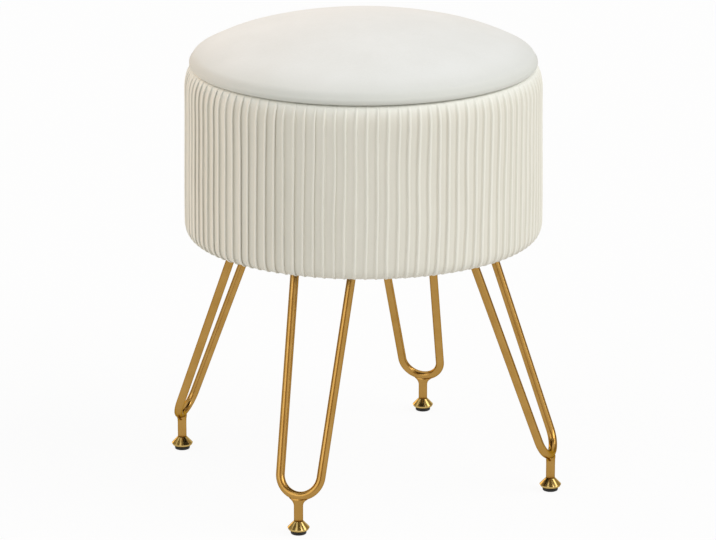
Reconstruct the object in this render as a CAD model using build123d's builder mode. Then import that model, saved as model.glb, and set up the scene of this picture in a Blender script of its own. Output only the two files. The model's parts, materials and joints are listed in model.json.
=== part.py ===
from build123d import *
import os
from math import acos, atan2, cos, degrees, hypot, radians, sin, tan

# Round storage stool. A drum covered in knife-pleated velvet stands on four splayed hairpin
# legs with screw-in levelling feet, and a domed padded lid lifts off its open top.
# Millimetres, +Z up, origin on the floor under the middle of the drum.

# Drum cover
drum_radius = 175.0  # over the pleat crests
drum_underside = 247.0  # height of the hem above the floor
drum_height = 168.5  # from the hem's underside to the crest of the rim
pleat_count = 108
pleat_depth = 2.0  # crest over valley
cover_thickness = 2.2  # folded velvet under a pleat's valley
bottom_roll_height = 16.0  # rounding where the cover turns under the base
rim_roll_height = 22.0  # rounding where the cover turns in over the rim
mouth_roll_height = 10.0  # rounding on the mouth's side of the rim
hem_thickness = 2.5  # band sewn to the pleats and turned under the base
hem_width = 22.0
mouth_band_thickness = 1.5  # band sewn to the pleats and turned down inside the mouth
mouth_band_depth = 28.0

# Drum carcass
wadding_thickness = 6.5
rim_padding = 5.0  # wadding over the top edge of the shell
shell_thickness = 6.0
base_thickness = 12.0
lining_thickness = 0.8
floor_thickness = 1.5
dust_cover_thickness = 0.8
dust_cover_lap = 12.0  # how far the dust cover overlaps the hem
shell_nail_count = 12
shell_nail_diameter = 1.6
shell_nail_length = 22.0
shell_nail_set = 0.5  # head below the face of the shell

# Lid
lid_radius = 169.0  # at the widest part of its side
lid_tuck = 4.0  # rounding where the side draws in to the underside
lid_side_height = 1.0  # upright part of the side
lid_shoulder_radius = 10.0
lid_crown_rise = 40.2  # from the start of the shoulder to the top of the crown
lid_cover_thickness = 1.5
lid_hem_width = 20.0
lid_board_thickness = 10.0
lid_board_inset = 9.0  # board's edge inside the lid's side
locating_disc_thickness = 10.0
disc_cover_thickness = 0.8
lid_screw_count = 6
lid_screw_circle_radius = 110.0
lid_screw_diameter = 4.0
lid_screw_head_diameter = 8.0
lid_screw_bite = 6.5  # length inside the lid board

# Staples
staple_crown = 10.0
staple_wire_width = 1.0
staple_wire_thickness = 0.6
staple_leg = 8.0
base_staple_count = 36
rim_staple_count = 24
lid_staple_count = 24
rim_staple_height = 8.0  # above the mouth band's lower edge
lid_staple_margin = 6.2  # from the raw edge of the lid's hem

# Legs
leg_angles = {"front": -90.0, "right": 0.0, "back": 90.0, "left": 180.0}
leg_splay = 20.2  # degrees from upright
rod_diameter = 8.4
rod_spread = 58.0  # between the two rod centres at the plate
bend_radius = 20.5  # of the rod's centreline
plate_length = 76.0
plate_width = 34.0
plate_thickness = 2.5
plate_corner = 6.0
plate_edge_gap = 0.5  # from the plate's corners to the step in the dust cover
plate_hole_length_spacing = 28.0
plate_hole_width_spacing = 20.0
stub_diameter = 8.8
stub_length = 20.4  # below the rod
stub_bore_depth = 17.0
weld_flare = 1.8  # how far the weld stands out round the stub
weld_height = 5.0

# Leg fasteners
leg_screw_diameter = 6.0
leg_screw_head_diameter = 11.0
leg_screw_head_height = 3.4
leg_screw_head_round = 1.1
leg_screw_key = 4.0  # hexagon socket across its flats
leg_screw_key_depth = 2.2
leg_screw_tip_depth = 1.3  # below the top of the base board
t_nut_flange_diameter = 17.0
t_nut_flange_thickness = 1.5
t_nut_barrel_wall = 1.2
t_nut_barrel_length = 9.0

# Levelling feet
foot_stud_diameter = 5.0
foot_stud_length = 15.5  # above the cap
foot_stud_chamfer = 0.5
cap_diameter = 21.6
cap_top_diameter = 9.4
cap_base_diameter = 16.0
cap_cone_height = 7.0
cap_lip_height = 2.6
cap_edge_round = 0.6
pad_diameter = 15.0
pad_thickness = 3.2
pad_edge_round = 0.8
pad_boss_diameter = 8.0
pad_boss_height = 2.0

# Clearances
cloth_gap = 0.3  # between soft layers
lid_rest_gap = 0.3  # lid over the rim
mouth_clearance = 3.0  # locating disc inside the mouth
board_clearance = 0.2  # base board inside the shell
turn_clearance = 0.1  # radial, stud in stub and boss in cap
foot_stop_gap = 0.3  # cap under the stub when screwed right in
thread_clearance = 0.05  # radial, screw in its T-nut
hole_clearance = 0.3  # radial, leg screw through plate and dust cover

# Radii of the drum's layers
valley_radius = drum_radius - pleat_depth
cover_inner_radius = valley_radius - cover_thickness
wadding_radius = cover_inner_radius - cloth_gap
shell_outer_radius = wadding_radius - wadding_thickness
shell_inner_radius = shell_outer_radius - shell_thickness
rim_crest_radius = (shell_outer_radius + shell_inner_radius) / 2
lining_outer_radius = shell_inner_radius - cloth_gap
lining_inner_radius = lining_outer_radius - lining_thickness
mouth_radius = lining_outer_radius - mouth_band_thickness
hem_inner_radius = shell_outer_radius - hem_width
dust_cover_radius = hem_inner_radius + dust_cover_lap
dust_step_outer = hem_inner_radius - cloth_gap
dust_step_inner = dust_step_outer - hem_thickness

# Heights of the drum's layers
base_underside = drum_underside + hem_thickness
base_top = base_underside + base_thickness
floor_top = base_top + floor_thickness
bottom_roll_top = drum_underside + bottom_roll_height
rim_top = drum_underside + drum_height
rim_roll_base = rim_top - rim_roll_height
mouth_roll_base = rim_top - mouth_roll_height
shell_top = rim_top - cover_thickness - cloth_gap - rim_padding
mouth_band_bottom = rim_top - mouth_band_depth

# Lid heights and the arc of its crown, tangent to the shoulder
lid_underside = rim_top + lid_rest_gap
lid_board_underside = lid_underside + lid_cover_thickness
lid_board_top = lid_board_underside + lid_board_thickness
lid_board_radius = lid_radius - lid_board_inset
lid_hem_inner_radius = lid_board_radius - lid_hem_width
shoulder_height = lid_underside + lid_tuck + lid_side_height
shoulder_centre = lid_radius - lid_shoulder_radius
crown_radius = (shoulder_centre**2 + lid_crown_rise**2 - lid_shoulder_radius**2) / (
    2 * (lid_crown_rise - lid_shoulder_radius)
)
crown_centre = shoulder_height + lid_crown_rise - crown_radius
crown_start = degrees(atan2(shoulder_height - crown_centre, shoulder_centre))
disc_underside = lid_underside - locating_disc_thickness
disc_radius = mouth_radius - mouth_clearance - disc_cover_thickness

# Leg and foot heights
plate_top = base_underside - dust_cover_thickness
plate_underside = plate_top - plate_thickness
cap_lip_top = pad_thickness + cap_lip_height
cap_top = cap_lip_top + cap_cone_height
boss_recess_top = pad_thickness + pad_boss_height + foot_stop_gap
stub_bottom = cap_top + foot_stop_gap
rod_lowest = stub_bottom + stub_length
bend_height = rod_lowest + rod_diameter / 2
plate_corner_reach = dust_step_inner - dust_cover_thickness - plate_edge_gap - plate_corner
plate_edge = (plate_corner_reach**2 - (plate_length / 2 - plate_corner) ** 2) ** 0.5 + plate_corner
plate_radius = plate_edge - plate_width / 2
foot_radius = plate_radius + (plate_underside - bend_height) * tan(radians(leg_splay))
t_nut_barrel_radius = leg_screw_diameter / 2 + t_nut_barrel_wall
leg_screw_hole_radius = leg_screw_diameter / 2 + hole_clearance

os.makedirs("parts", exist_ok=True)


# Upright plane through the stool's axis: its X runs outwards at an angle, its Y runs up
def section_plane(angle, radius=0.0):
    outwards = Vector(cos(radians(angle)), sin(radians(angle)), 0)
    return Plane(outwards * radius, x_dir=outwards, z_dir=outwards.cross(Vector(0, 0, 1)))


# Level plane at the middle of a leg's plate: its X runs along the plate, its Y inwards
def plate_plane(angle, height):
    outwards = Vector(cos(radians(angle)), sin(radians(angle)), 0)
    origin = outwards * plate_radius + Vector(0, 0, height)
    return Plane(origin, x_dir=Vector(0, 0, 1).cross(outwards), z_dir=(0, 0, 1))


# Plane of a hairpin: its origin is the lowest point of the rod's centreline, its Y runs up the leg
def hairpin_plane(angle):
    outwards = Vector(cos(radians(angle)), sin(radians(angle)), 0)
    origin = outwards * foot_radius + Vector(0, 0, bend_height)
    facing = outwards * cos(radians(leg_splay)) + Vector(0, 0, sin(radians(leg_splay)))
    return Plane(origin, x_dir=Vector(0, 0, 1).cross(outwards), z_dir=facing)


# Section of the pleated cover with its outer face at the given radius
def cover_section(angle, radius):
    rim_centre = (rim_crest_radius, rim_roll_base)
    bottom_centre = (shell_outer_radius, bottom_roll_top)
    with BuildSketch(section_plane(angle)) as section:
        with BuildLine():
            EllipticalCenterArc(rim_centre, radius - rim_crest_radius, rim_roll_height)
            Line((radius, rim_roll_base), (radius, bottom_roll_top))
            EllipticalCenterArc(bottom_centre, radius - shell_outer_radius, bottom_roll_height, -90)
            Line((shell_outer_radius, drum_underside), (shell_outer_radius, base_underside))
            EllipticalCenterArc(
                bottom_centre,
                cover_inner_radius - shell_outer_radius,
                bottom_roll_height - hem_thickness,
                -90,
            )
            Line((cover_inner_radius, bottom_roll_top), (cover_inner_radius, rim_roll_base))
            EllipticalCenterArc(
                rim_centre, cover_inner_radius - rim_crest_radius, rim_roll_height - cover_thickness
            )
            Line((rim_crest_radius, rim_top - cover_thickness), (rim_crest_radius, rim_top))
        make_face()
    return section.sketch


# Half section of the lid's padding, a given distance inside the cover's outer face
def lid_section(inset):
    side = lid_radius - inset
    underside = lid_underside + inset
    tuck_centre = (lid_radius - lid_tuck, lid_underside + lid_tuck)
    with BuildSketch(Plane.XZ) as section:
        with BuildLine():
            Line((0, underside), (tuck_centre[0], underside))
            CenterArc(tuck_centre, lid_tuck - inset, -90, 90)
            Line((side, tuck_centre[1]), (side, shoulder_height))
            CenterArc((shoulder_centre, shoulder_height), lid_shoulder_radius - inset, 0, crown_start)
            CenterArc((0, crown_centre), crown_radius - inset, crown_start, 90 - crown_start)
            Line((0, crown_centre + crown_radius - inset), (0, underside))
        make_face()
    return section.sketch


# Drum cover: each pleat rises from its valley to a folded edge, then steps down to the next
with BuildPart() as pleat:
    pleat_angle = 360 / pleat_count
    loft([cover_section(0, valley_radius), cover_section(pleat_angle, drum_radius)], ruled=True)

with BuildPart() as pleated_cover:
    with PolarLocations(0, pleat_count):
        add(pleat.part)
pleated_cover.part.label = "pleated_cover"
export_step(pleated_cover.part, "parts/pleated_cover.step")

# Plain velvet band sewn to the foot of the pleats and turned under the base
with BuildPart() as hem_band:
    with BuildSketch(Plane.XY.offset(drum_underside)):
        Circle(shell_outer_radius - cloth_gap)
        Circle(hem_inner_radius, mode=Mode.SUBTRACT)
    extrude(amount=hem_thickness)
hem_band.part.label = "hem_band"
export_step(hem_band.part, "parts/hem_band.step")

# Plain velvet band sewn to the top of the pleats and turned down inside the mouth
with BuildPart() as mouth_band:
    seam_radius = rim_crest_radius - cloth_gap
    mouth_centre = (seam_radius, mouth_roll_base)
    with BuildSketch(Plane.XZ):
        with BuildLine():
            EllipticalCenterArc(mouth_centre, seam_radius - mouth_radius, mouth_roll_height, 90)
            Polyline(
                (mouth_radius, mouth_roll_base),
                (mouth_radius, mouth_band_bottom),
                (lining_outer_radius, mouth_band_bottom),
                (lining_outer_radius, mouth_roll_base),
            )
            EllipticalCenterArc(
                mouth_centre,
                seam_radius - lining_outer_radius,
                mouth_roll_height - cover_thickness,
                90,
            )
            Line((seam_radius, rim_top - cover_thickness), (seam_radius, rim_top))
        make_face()
    revolve(axis=Axis.Z)
mouth_band.part.label = "mouth_band"
export_step(mouth_band.part, "parts/mouth_band.step")

# Bent board shell of the drum
with BuildPart() as drum_shell:
    with BuildSketch(Plane.XY.offset(base_underside)):
        Circle(shell_outer_radius)
        Circle(shell_inner_radius, mode=Mode.SUBTRACT)
    extrude(amount=shell_top - base_underside)
drum_shell.part.label = "drum_shell"
export_step(drum_shell.part, "parts/drum_shell.step")

# Wadding round the shell, wrapped over its top edge
with BuildPart() as drum_wadding:
    with BuildSketch(Plane.XZ):
        with BuildLine():
            EllipticalCenterArc(
                (shell_outer_radius, bottom_roll_top),
                wadding_radius - shell_outer_radius,
                bottom_roll_height - hem_thickness - cloth_gap,
                -90,
            )
            Line((wadding_radius, bottom_roll_top), (wadding_radius, rim_roll_base))
            EllipticalCenterArc(
                (rim_crest_radius, rim_roll_base),
                wadding_radius - rim_crest_radius,
                rim_roll_height - cover_thickness - cloth_gap,
            )
            EllipticalCenterArc(
                (rim_crest_radius, shell_top),
                rim_crest_radius - shell_inner_radius - cloth_gap,
                rim_padding,
                90,
            )
            Polyline(
                (shell_inner_radius + cloth_gap, shell_top),
                (shell_outer_radius, shell_top),
                (shell_outer_radius, base_underside + cloth_gap),
            )
        make_face()
    revolve(axis=Axis.Z)
drum_wadding.part.label = "drum_wadding"
export_step(drum_wadding.part, "parts/drum_wadding.step")

# Base board, counterbored for the T-nuts of the four legs
with BuildPart() as base_board:
    with BuildSketch(Plane.XY.offset(base_underside)):
        Circle(shell_inner_radius - board_clearance)
    extrude(amount=base_thickness)
    for leg_angle in leg_angles.values():
        with Locations(plate_plane(leg_angle, base_top)):
            with GridLocations(plate_hole_length_spacing, plate_hole_width_spacing, 2, 2):
                CounterBoreHole(t_nut_barrel_radius, t_nut_flange_diameter / 2, t_nut_flange_thickness)
base_board.part.label = "base_board"
export_step(base_board.part, "parts/base_board.step")

# Nails through the shell into the edge of the base board
with BuildPart() as shell_nails:
    for nail in range(shell_nail_count):
        nail_head = shell_outer_radius - shell_nail_set
        nail_plane = section_plane((nail + 0.5) * 360 / shell_nail_count, nail_head)
        with BuildSketch(Plane(nail_plane.origin, x_dir=nail_plane.z_dir, z_dir=-nail_plane.x_dir)):
            with Locations((0, (base_underside + base_top) / 2)):
                Circle(shell_nail_diameter / 2)
    extrude(amount=shell_nail_length)
shell_nails.part.label = "shell_nails"
export_step(shell_nails.part, "parts/shell_nails.step")

# Cloth lining of the storage space, wall and floor
with BuildPart() as drum_lining:
    with BuildSketch(Plane.XY.offset(floor_top)):
        Circle(lining_outer_radius)
        Circle(lining_inner_radius, mode=Mode.SUBTRACT)
    extrude(amount=mouth_band_bottom - cloth_gap - floor_top)
drum_lining.part.label = "drum_lining"
export_step(drum_lining.part, "parts/drum_lining.step")

with BuildPart() as floor_lining:
    with BuildSketch(Plane.XY.offset(base_top)):
        Circle(lining_outer_radius)
    extrude(amount=floor_thickness)
floor_lining.part.label = "floor_lining"
export_step(floor_lining.part, "parts/floor_lining.step")

# Dust cover under the base: flat on the board, stepping down over the hem's raw edge
with BuildPart() as dust_cover:
    lap_underside = drum_underside - dust_cover_thickness
    with BuildSketch(Plane.XZ):
        with BuildLine():
            Polyline(
                (0, base_underside),
                (dust_step_inner, base_underside),
                (dust_step_outer, drum_underside),
                (dust_cover_radius, drum_underside),
                (dust_cover_radius, lap_underside),
                (dust_step_outer - dust_cover_thickness, lap_underside),
                (dust_step_inner - dust_cover_thickness, plate_top),
                (0, plate_top),
                close=True,
            )
        make_face()
    revolve(axis=Axis.Z)
    for leg_angle in leg_angles.values():
        with Locations(plate_plane(leg_angle, base_underside)):
            with GridLocations(plate_hole_length_spacing, plate_hole_width_spacing, 2, 2):
                Hole(leg_screw_hole_radius)
dust_cover.part.label = "dust_cover"
export_step(dust_cover.part, "parts/dust_cover.step")

# One staple, its crown's outer face on the XY plane and its legs along +Z
with BuildPart() as staple:
    with BuildSketch(Plane.XZ):
        Rectangle(staple_crown, staple_leg, align=(Align.CENTER, Align.MIN))
        with Locations((0, staple_wire_thickness)):
            Rectangle(
                staple_crown - 2 * staple_wire_thickness,
                staple_leg,
                align=(Align.CENTER, Align.MIN),
                mode=Mode.SUBTRACT,
            )
    extrude(amount=staple_wire_width / 2, both=True)

# Staples through the dust cover and the hem into the base board
with BuildPart() as base_staples:
    for turn in range(base_staple_count):
        heading = section_plane((turn + 0.5) * 360 / base_staple_count)
        seat = heading.x_dir * (hem_inner_radius + dust_cover_radius) / 2
        crown_face = lap_underside - staple_wire_thickness
        with Locations(Plane(seat + Vector(0, 0, crown_face), x_dir=heading.z_dir, z_dir=(0, 0, 1))):
            add(staple.part)
base_staples.part.label = "base_staples"
export_step(base_staples.part, "parts/base_staples.step")

# Staples through the mouth band into the inside of the shell
with BuildPart() as rim_staples:
    for turn in range(rim_staple_count):
        heading = section_plane((turn + 0.5) * 360 / rim_staple_count)
        seat = heading.x_dir * (mouth_radius - staple_wire_thickness)
        seat += Vector(0, 0, mouth_band_bottom + rim_staple_height)
        with Locations(Plane(seat, x_dir=heading.z_dir, z_dir=heading.x_dir)):
            add(staple.part)
rim_staples.part.label = "rim_staples"
export_step(rim_staples.part, "parts/rim_staples.step")

# Lid board
with BuildPart() as lid_board:
    with BuildSketch(Plane.XY.offset(lid_board_underside)):
        Circle(lid_board_radius)
    extrude(amount=lid_board_thickness)
    with BuildSketch(Plane.XY.offset(lid_board_underside)):
        with PolarLocations(lid_screw_circle_radius, lid_screw_count):
            Circle(lid_screw_diameter / 2)
    extrude(amount=lid_screw_bite, mode=Mode.SUBTRACT)
lid_board.part.label = "lid_board"
export_step(lid_board.part, "parts/lid_board.step")

# Crowned foam of the seat, with a lip round the board's edge
with BuildPart() as seat_foam:
    revolve(lid_section(lid_cover_thickness + cloth_gap), axis=Axis.Z)
    with BuildSketch(Plane.XY.offset(lid_underside)):
        Circle(lid_board_radius + cloth_gap)
    extrude(amount=lid_board_top - lid_underside, mode=Mode.SUBTRACT)
seat_foam.part.label = "seat_foam"
export_step(seat_foam.part, "parts/seat_foam.step")

# Velvet of the seat, hemmed under the board
with BuildPart() as seat_cover:
    revolve(lid_section(0), axis=Axis.Z)
    revolve(lid_section(lid_cover_thickness), axis=Axis.Z, mode=Mode.SUBTRACT)
    with BuildSketch(Plane.XY.offset(lid_underside)):
        Circle(lid_hem_inner_radius)
    extrude(amount=lid_cover_thickness, mode=Mode.SUBTRACT)
seat_cover.part.label = "seat_cover"
export_step(seat_cover.part, "parts/seat_cover.step")

# Staples of the lid's hem, pulled flush into the velvet
with BuildPart() as lid_staples:
    for turn in range(lid_staple_count):
        heading = section_plane((turn + 0.5) * 360 / lid_staple_count)
        seat = heading.x_dir * (lid_hem_inner_radius + lid_staple_margin)
        seat += Vector(0, 0, lid_underside)
        with Locations(Plane(seat, x_dir=heading.z_dir, z_dir=(0, 0, 1))):
            add(staple.part)
lid_staples.part.label = "lid_staples"
export_step(lid_staples.part, "parts/lid_staples.step")

# Disc under the lid that locates it in the mouth
with BuildPart() as locating_disc:
    with BuildSketch(Plane.XY.offset(disc_underside)):
        Circle(disc_radius)
    extrude(amount=locating_disc_thickness)
    with Locations(Plane(origin=(0, 0, disc_underside), z_dir=(0, 0, -1))):
        with PolarLocations(lid_screw_circle_radius, lid_screw_count):
            CounterSinkHole(lid_screw_diameter / 2, lid_screw_head_diameter / 2, counter_sink_angle=90)
locating_disc.part.label = "locating_disc"
export_step(locating_disc.part, "parts/locating_disc.step")

# Cloth wrapped over the disc's underside and edge
with BuildPart() as disc_cover:
    with BuildSketch(Plane.XY.offset(disc_underside - disc_cover_thickness)):
        Circle(disc_radius + disc_cover_thickness)
    extrude(amount=locating_disc_thickness + disc_cover_thickness - cloth_gap)
    with BuildSketch(Plane.XY.offset(disc_underside)):
        Circle(disc_radius)
    extrude(amount=locating_disc_thickness, mode=Mode.SUBTRACT)
disc_cover.part.label = "disc_cover"
export_step(disc_cover.part, "parts/disc_cover.step")

# Countersunk screws through the disc into the lid board
with BuildPart() as lid_screw:
    screw_tip = lid_board_underside + lid_screw_bite
    head_rise = (lid_screw_head_diameter - lid_screw_diameter) / 2
    with BuildSketch(Plane.XZ):
        with BuildLine():
            Polyline(
                (0, disc_underside),
                (lid_screw_head_diameter / 2, disc_underside),
                (lid_screw_diameter / 2, disc_underside + head_rise),
                (lid_screw_diameter / 2, screw_tip - lid_screw_diameter / 2),
                (0, screw_tip),
                close=True,
            )
        make_face()
    revolve(axis=Axis.Z)

with BuildPart() as lid_screws:
    with PolarLocations(lid_screw_circle_radius, lid_screw_count, rotate=False):
        add(lid_screw.part)
lid_screws.part.label = "lid_screws"
export_step(lid_screws.part, "parts/lid_screws.step")

# T-nuts pressed into the base board
with BuildPart() as t_nut:
    with BuildSketch():
        Circle(t_nut_flange_diameter / 2)
    extrude(amount=-t_nut_flange_thickness)
    with BuildSketch():
        Circle(t_nut_barrel_radius)
    extrude(amount=-t_nut_barrel_length)
    Hole(leg_screw_diameter / 2 + thread_clearance)

with BuildPart() as t_nuts:
    for leg_angle in leg_angles.values():
        with Locations(plate_plane(leg_angle, base_top)):
            with GridLocations(plate_hole_length_spacing, plate_hole_width_spacing, 2, 2):
                add(t_nut.part)
t_nuts.part.label = "t_nuts"
export_step(t_nuts.part, "parts/t_nuts.step")

# Socket-head screws that hold the leg plates, heads below the plate
with BuildPart() as leg_screw:
    with BuildSketch(Plane.XY.offset(-leg_screw_head_height)):
        Circle(leg_screw_head_diameter / 2)
    extrude(amount=leg_screw_head_height)
    fillet(leg_screw.edges().sort_by(Axis.Z)[0], leg_screw_head_round)
    with BuildSketch():
        Circle(leg_screw_diameter / 2)
    extrude(amount=base_top - leg_screw_tip_depth - plate_underside)
    with BuildSketch(Plane.XY.offset(-leg_screw_head_height)):
        RegularPolygon(leg_screw_key / 2, 6, major_radius=False)
    extrude(amount=leg_screw_key_depth, mode=Mode.SUBTRACT)

with BuildPart() as leg_screws:
    for leg_angle in leg_angles.values():
        with Locations(plate_plane(leg_angle, plate_underside)):
            with GridLocations(plate_hole_length_spacing, plate_hole_width_spacing, 2, 2):
                add(leg_screw.part)
leg_screws.part.label = "leg_screws"
export_step(leg_screws.part, "parts/leg_screws.step")

# Where the straight run of a hairpin meets its bend, in the hairpin's own plane
run_length = (plate_underside - bend_height) / cos(radians(leg_splay))
run_reach = hypot(rod_spread / 2, run_length - bend_radius)
bend_end = atan2(run_length - bend_radius, rod_spread / 2) - acos(bend_radius / run_reach)
bend_x = bend_radius * cos(bend_end)
bend_y = bend_radius * (1 + sin(bend_end))
top_x = rod_spread / 2 + (rod_spread / 2 - bend_x) * rod_diameter / run_length
top_y = run_length + rod_diameter

for name, leg_angle in leg_angles.items():
    foot_plane = section_plane(leg_angle, foot_radius)
    foot_axis = Axis(foot_plane.origin, (0, 0, 1))

    # Plate under the base board
    with BuildPart() as leg_plate:
        with BuildSketch(plate_plane(leg_angle, plate_underside)):
            RectangleRounded(plate_length, plate_width, plate_corner)
            with GridLocations(plate_hole_length_spacing, plate_hole_width_spacing, 2, 2):
                Circle(leg_screw_hole_radius, mode=Mode.SUBTRACT)
        extrude(amount=plate_thickness)
    leg_plate.part.label = f"leg_plate_{name}"
    export_step(leg_plate.part, f"parts/leg_plate_{name}.step")

    # Hairpin rod, trimmed level against the plate
    with BuildPart() as leg_rod:
        with BuildLine(hairpin_plane(leg_angle)) as rod_path:
            Line((top_x, top_y), (bend_x, bend_y))
            ThreePointArc((bend_x, bend_y), (0, 0), (-bend_x, bend_y))
            Line((-bend_x, bend_y), (-top_x, top_y))
        with BuildSketch(Plane(rod_path.line @ 0, z_dir=rod_path.line % 0)):
            Circle(rod_diameter / 2)
        sweep()
        split(bisect_by=Plane.XY.offset(plate_underside), keep=Keep.BOTTOM)
    leg_rod.part.label = f"leg_rod_{name}"
    export_step(leg_rod.part, f"parts/leg_rod_{name}.step")

    # Bored stub welded under the bend, coped to the rod
    with BuildPart() as leg_stub:
        with BuildSketch(foot_plane):
            with BuildLine():
                Polyline(
                    (0, stub_bottom),
                    (stub_diameter / 2, stub_bottom),
                    (stub_diameter / 2, rod_lowest - weld_height + weld_flare),
                    (stub_diameter / 2 + weld_flare, rod_lowest + weld_flare),
                    (0, rod_lowest + weld_flare),
                    close=True,
                )
            make_face()
        revolve(axis=foot_axis)
        with BuildSketch(Plane(foot_plane.origin + Vector(0, 0, stub_bottom))):
            Circle(foot_stud_diameter / 2 + turn_clearance)
        extrude(amount=stub_bore_depth, mode=Mode.SUBTRACT)
        add(leg_rod.part, mode=Mode.SUBTRACT)
    leg_stub.part.label = f"leg_stub_{name}"
    export_step(leg_stub.part, f"parts/leg_stub_{name}.step")

    # Screw stud of the levelling foot
    with BuildPart() as foot_stud:
        with BuildSketch(Plane(foot_plane.origin + Vector(0, 0, boss_recess_top))):
            Circle(foot_stud_diameter / 2)
        extrude(amount=cap_top + foot_stud_length - boss_recess_top)
        chamfer(foot_stud.edges().sort_by(Axis.Z)[-1], foot_stud_chamfer)
    foot_stud.part.label = f"foot_stud_{name}"
    export_step(foot_stud.part, f"parts/foot_stud_{name}.step")

    # Conical cap pressed on the stud
    with BuildPart() as foot_cap:
        with BuildSketch(foot_plane):
            with BuildLine():
                Polyline(
                    (pad_boss_diameter / 2 + turn_clearance, pad_thickness),
                    (cap_base_diameter / 2, pad_thickness),
                    (cap_diameter / 2, cap_lip_top),
                    (cap_top_diameter / 2, cap_top),
                    (foot_stud_diameter / 2, cap_top),
                    (foot_stud_diameter / 2, boss_recess_top),
                    (pad_boss_diameter / 2 + turn_clearance, boss_recess_top),
                    close=True,
                )
            section = make_face()
            fillet(section.vertices().sort_by(Axis.X)[-1], cap_edge_round)
        revolve(axis=foot_axis)
    foot_cap.part.label = f"foot_cap_{name}"
    export_step(foot_cap.part, f"parts/foot_cap_{name}.step")

    # Rubber pad on the floor, with a boss that the cap turns on
    with BuildPart() as foot_pad:
        with BuildSketch(Plane(foot_plane.origin)):
            Circle(pad_diameter / 2)
        extrude(amount=pad_thickness)
        fillet(foot_pad.edges().sort_by(Axis.Z)[0], pad_edge_round)
        with BuildSketch(Plane(foot_plane.origin + Vector(0, 0, pad_thickness))):
            Circle(pad_boss_diameter / 2)
        extrude(amount=pad_boss_height)
    foot_pad.part.label = f"foot_pad_{name}"
    export_step(foot_pad.part, f"parts/foot_pad_{name}.step")
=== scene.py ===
import json
import math
import random

import bmesh
import bpy
from mathutils import Matrix, Vector, noise


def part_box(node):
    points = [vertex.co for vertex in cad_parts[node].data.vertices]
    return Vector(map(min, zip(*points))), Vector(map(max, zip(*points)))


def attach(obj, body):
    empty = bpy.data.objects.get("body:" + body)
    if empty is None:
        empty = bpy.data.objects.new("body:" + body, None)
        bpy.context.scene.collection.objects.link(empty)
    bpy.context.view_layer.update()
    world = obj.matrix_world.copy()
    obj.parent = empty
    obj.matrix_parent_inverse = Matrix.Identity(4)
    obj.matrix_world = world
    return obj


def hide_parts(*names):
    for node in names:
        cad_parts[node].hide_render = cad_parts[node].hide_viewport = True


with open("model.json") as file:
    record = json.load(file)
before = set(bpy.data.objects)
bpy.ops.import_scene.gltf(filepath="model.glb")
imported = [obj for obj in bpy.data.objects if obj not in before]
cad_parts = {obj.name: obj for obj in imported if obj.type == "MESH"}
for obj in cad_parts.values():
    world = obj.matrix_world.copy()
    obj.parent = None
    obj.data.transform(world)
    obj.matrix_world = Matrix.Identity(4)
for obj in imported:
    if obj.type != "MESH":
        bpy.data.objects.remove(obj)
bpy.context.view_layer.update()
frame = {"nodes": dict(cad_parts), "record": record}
scene = bpy.context.scene
scene.view_settings.view_transform = "Standard"
mm = 0.001
near = 0.1 * mm  # how close to a surface a point counts as on it
legNames = ("front", "right", "back", "left")


# Sizes taken from the frame
drumLow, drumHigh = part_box("pleated_cover")
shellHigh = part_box("drum_shell")[1]
hemLow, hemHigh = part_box("hem_band")
mouthLow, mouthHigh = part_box("mouth_band")
liningLow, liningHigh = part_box("drum_lining")
floorLow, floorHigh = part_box("floor_lining")
dustLow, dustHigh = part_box("dust_cover")
lidLow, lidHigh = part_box("seat_cover")
discLow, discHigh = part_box("disc_cover")
print("frame loaded:", len(frame["nodes"]), "nodes")


# Camera at the photograph's viewing angle
camera = {
    "azimuth": 18.63,
    "distance": 3.6765,
    "height": 1.3085,
    "pitch": 16.68,
    "lens": 196.3,
    "sensor": 36,
    "shiftX": -0.0077,
    "farthest": 60,
}


def placeCamera():
    data = bpy.data.cameras.new("photoCamera")
    data.sensor_width = camera["sensor"]
    data.lens = camera["lens"]
    data.shift_x = camera["shiftX"]
    data.clip_end = camera["farthest"]
    eye = bpy.data.objects.new("photoCamera", data)
    turn = math.radians(camera["azimuth"])
    reach = camera["distance"]
    eye.location = (reach * math.sin(turn), -reach * math.cos(turn), camera["height"])
    eye.rotation_euler = (math.radians(90 - camera["pitch"]), 0, turn)
    scene.collection.objects.link(eye)
    scene.camera = eye


# Node helpers
def addNode(tree, kind, settings=None, **values):
    node = tree.nodes.new(kind)
    for name, value in (settings or {}).items():
        setattr(node, name, value)
    for name, value in values.items():
        node.inputs[name].default_value = value
    return node


def newGroup(name, inputs, outputs):
    group = bpy.data.node_groups.new(name, "ShaderNodeTree")
    for label, kind in inputs.items():
        group.interface.new_socket(name=label, in_out="INPUT", socket_type="NodeSocket" + kind)
    for label in outputs:
        group.interface.new_socket(name=label, in_out="OUTPUT", socket_type="NodeSocketFloat")
    return group, group.nodes.new("NodeGroupInput"), group.nodes.new("NodeGroupOutput")


def stretched(tree, vector, scale):
    node = addNode(tree, "ShaderNodeMapping", Scale=scale)
    tree.links.new(vector, node.inputs["Vector"])
    return node.outputs["Vector"]


def noiseOf(tree, vector, scale, detail=2.0, rough=0.5):
    node = addNode(tree, "ShaderNodeTexNoise", Detail=detail, Roughness=rough)
    tree.links.new(vector, node.inputs["Vector"])
    if isinstance(scale, bpy.types.NodeSocket):
        tree.links.new(scale, node.inputs["Scale"])
    else:
        node.inputs["Scale"].default_value = scale
    return node.outputs["Fac"]


def rangeOf(tree, value, low, high, toLow=0.0, toHigh=1.0):
    node = tree.nodes.new("ShaderNodeMapRange")
    for name, number in (("From Min", low), ("From Max", high), ("To Min", toLow), ("To Max", toHigh)):
        node.inputs[name].default_value = number
    tree.links.new(value, node.inputs["Value"])
    return node.outputs["Result"]


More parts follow.
